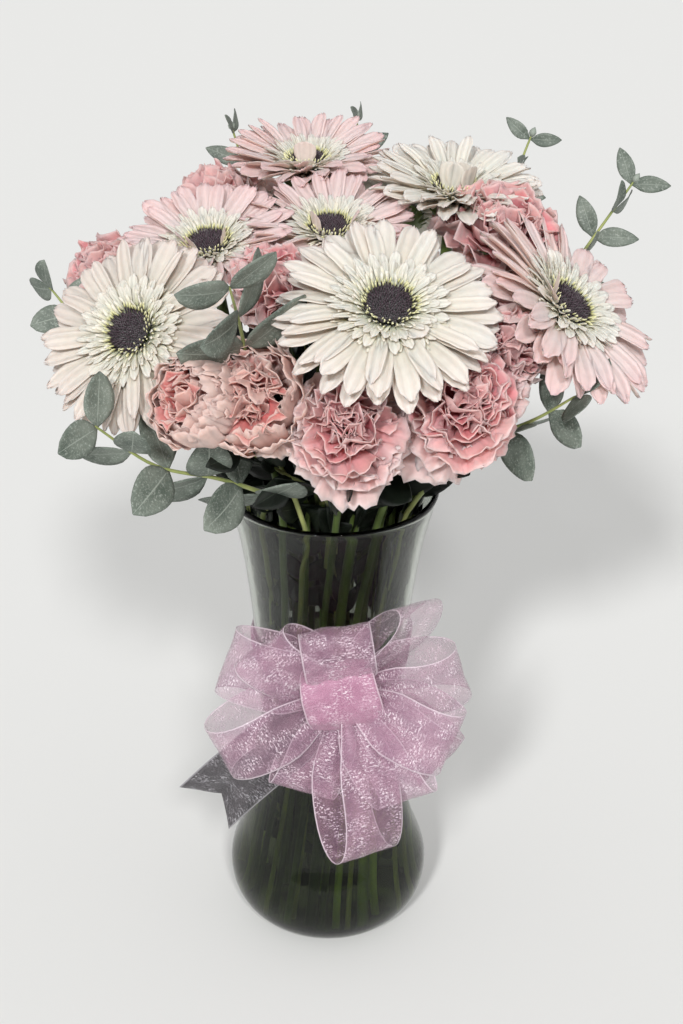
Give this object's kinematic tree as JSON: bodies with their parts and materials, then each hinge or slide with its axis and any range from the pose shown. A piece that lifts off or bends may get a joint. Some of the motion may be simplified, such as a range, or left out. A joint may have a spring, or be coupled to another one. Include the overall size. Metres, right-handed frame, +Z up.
{
  "type": "gerberas in a vase",
  "caption": "Round bouquet of gerberas, carnations, eucalyptus and dark leaves standing in water in a flared glass vase, with an organza bow round its neck.",
  "frame": {"origin": "centre of the vase's flat foot, on the surface that it stands on", "axes": "+Z up along the vase, -Y to the front where the bow is, +X to the right seen from the front"},
  "size_m": [0.3251, 0.2881, 0.4657],
  "materials": {
    "glass": "polished clear glass",
    "water": "clear water",
    "white_rays": "matte petal, cream white",
    "pink_rays": "matte petal, pale pink",
    "eye": "matte, dark purple brown",
    "stem": "satin, fresh green",
    "pink_petals": "matte petal, rose pink",
    "pale_petals": "matte petal, pale salmon",
    "eucalyptus": "matte leaf, grey green with a pale bloom",
    "dark_leaf": "satin leaf, dark green",
    "organza": "sheer satin weave, pink lilac with silver thread"
  },
  "bodies": {
    "root": {"vase": "glass", "water": "water", "neck_band": "organza", "bow": "organza", "gerbera_front_rays": "white_rays", "gerbera_front_eye": "eye", "gerbera_front_stem": "stem", "gerbera_left_rays": "white_rays", "gerbera_left_eye": "eye", "gerbera_left_stem": "stem", "gerbera_right_rays": "pink_rays", "gerbera_right_eye": "eye", "gerbera_right_stem": "stem", "gerbera_left_rear_rays": "pink_rays", "gerbera_left_rear_eye": "eye", "gerbera_left_rear_stem": "stem", "gerbera_centre_rear_rays": "pink_rays", "gerbera_centre_rear_eye": "eye", "gerbera_centre_rear_stem": "stem", "gerbera_right_rear_rays": "white_rays", "gerbera_right_rear_eye": "eye", "gerbera_right_rear_stem": "stem", "gerbera_top_rays": "pink_rays", "gerbera_top_eye": "eye", "gerbera_top_stem": "stem", "gerbera_back_rays": "white_rays", "gerbera_back_eye": "eye", "gerbera_back_stem": "stem", "carnation_left_bud_petals": "pale_petals", "carnation_left_bud_stem": "stem", "carnation_front_left_petals": "pale_petals", "carnation_front_left_stem": "stem", "carnation_front_petals": "pink_petals", "carnation_front_stem": "stem", "carnation_front_right_petals": "pink_petals", "carnation_front_right_stem": "stem", "carnation_right_petals": "pink_petals", "carnation_right_stem": "stem", "carnation_right_rear_petals": "pink_petals", "carnation_right_rear_stem": "stem", "carnation_centre_petals": "pink_petals", "carnation_centre_stem": "stem", "carnation_far_left_petals": "pink_petals", "carnation_far_left_stem": "stem", "carnation_top_left_petals": "pink_petals", "carnation_top_left_stem": "stem", "carnation_back_left_petals": "pink_petals", "carnation_back_left_stem": "stem", "carnation_back_right_petals": "pink_petals", "carnation_back_right_stem": "stem", "eucalyptus_front_left": "eucalyptus", "eucalyptus_centre": "eucalyptus", "eucalyptus_far_left": "eucalyptus", "eucalyptus_top_left": "eucalyptus", "eucalyptus_top": "eucalyptus", "eucalyptus_top_right": "eucalyptus", "eucalyptus_far_right": "eucalyptus", "eucalyptus_low_right": "eucalyptus", "foliage_front": "dark_leaf", "foliage_back": "dark_leaf"}
  },
  "joints": []
}
